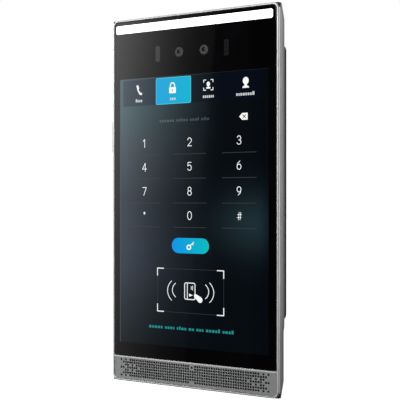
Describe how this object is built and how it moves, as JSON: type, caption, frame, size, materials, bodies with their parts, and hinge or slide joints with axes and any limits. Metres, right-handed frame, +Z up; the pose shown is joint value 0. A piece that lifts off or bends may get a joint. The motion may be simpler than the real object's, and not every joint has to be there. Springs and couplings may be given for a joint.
{
  "type": "video door station",
  "caption": "Tall slim wall-mounted video door station with a full-height touch glass, camera windows, a light strip and a perforated speaker strip, hooked onto a wall bracket.",
  "frame": {"origin": "on the wall plane, in the middle of the unit's width and height", "axes": "+Z up, -Y out of the wall towards the user, +X to the right seen from the front"},
  "size_m": [0.1234, 0.0245, 0.237],
  "materials": {
    "bright_aluminium": "bright fine-blasted anodised",
    "grey_aluminium": "satin anodised",
    "satin_aluminium": "satin brushed",
    "black_glass": "polished, black printed behind",
    "white_diffuser": "frosted, lit",
    "screen": "glossy, lit",
    "black_plastic": "fine moulded grain",
    "light_plastic": "fine moulded grain",
    "rubber": "matt",
    "clear_film": "glossy film",
    "lens_glass": "coated",
    "speaker_cloth": "fine woven",
    "circuit_board": "solder mask",
    "bracket_steel": "galvanised, brushed",
    "plated_steel": "nickel plated",
    "copper_coil": "enamelled wire",
    "terminal_green": "moulded",
    "amber_film": "polyimide film"
  },
  "bodies": {
    "bracket": {"wall_bracket": "bracket_steel", "security_screw": "plated_steel"},
    "unit": {"front_frame": "bright_aluminium", "side_housing": "grey_aluminium", "speaker_grille": "satin_aluminium", "heat_spreader": "satin_aluminium", "cover_glass": "black_glass", "light_bar": "white_diffuser", "lcd_panel": "screen", "rear_box": "black_plastic", "camera_module_left": "black_plastic", "camera_module_right": "black_plastic", "speaker_frame": "black_plastic", "lock_relay": "black_plastic", "tamper_switch": "black_plastic", "reset_switch": "black_plastic", "frame_seal": "rubber", "glass_gasket": "rubber", "speaker_gasket": "rubber", "microphone_boot": "rubber", "cover_seal": "rubber", "port_seal": "rubber", "touch_sensor": "clear_film", "camera_lens_left": "lens_glass", "camera_lens_right": "lens_glass", "infrared_lamp_left": "lens_glass", "infrared_lamp_right": "lens_glass", "acoustic_mesh": "speaker_cloth", "led_board": "circuit_board", "camera_board": "circuit_board", "main_board": "circuit_board", "reader_antenna": "circuit_board", "chassis_plate": "bracket_steel", "backlight_unit": "bracket_steel", "speaker_magnet": "plated_steel", "microphone": "plated_steel", "processor_shield": "plated_steel", "network_jack": "plated_steel", "clock_battery": "plated_steel", "service_socket": "plated_steel", "housing_screw_1": "plated_steel", "housing_screw_2": "plated_steel", "housing_screw_3": "plated_steel", "housing_screw_4": "plated_steel", "cover_screw_1": "plated_steel", "cover_screw_2": "plated_steel", "cover_screw_3": "plated_steel", "cover_screw_4": "plated_steel", "board_screw_1": "plated_steel", "board_screw_2": "plated_steel", "board_screw_3": "plated_steel", "board_screw_4": "plated_steel", "power_terminal": "terminal_green", "lock_terminal": "terminal_green", "display_flex": "amber_film"},
    "cone": {"speaker_cone": "clear_film", "voice_coil": "copper_coil"},
    "tamper": {"tamper_plunger": "light_plastic"},
    "reset": {"reset_button": "light_plastic"},
    "side_cover": {"port_cover": "light_plastic"}
  },
  "joints": [
    {"name": "unit_lift", "type": "slide", "parent": "bracket", "child": "unit", "axis": [0, 0, 1], "range_m": [0, 0.008]},
    {"name": "tamper_travel", "type": "slide", "parent": "unit", "child": "tamper", "axis": [0, 1, 0], "range_m": [-0.0015, 0], "stiffness_N_per_m": 150},
    {"name": "reset_travel", "type": "slide", "parent": "unit", "child": "reset", "axis": [0, 1, 0], "range_m": [-0.0004, 0], "stiffness_N_per_m": 400},
    {"name": "cone_travel", "type": "slide", "parent": "unit", "child": "cone", "axis": [0, 1, 0], "range_m": [-0.0003, 0.0003], "stiffness_N_per_m": 1000},
    {"name": "cover_pull", "type": "slide", "parent": "unit", "child": "side_cover", "axis": [-1, 0, 0], "range_m": [0, 0.006]}
  ]
}
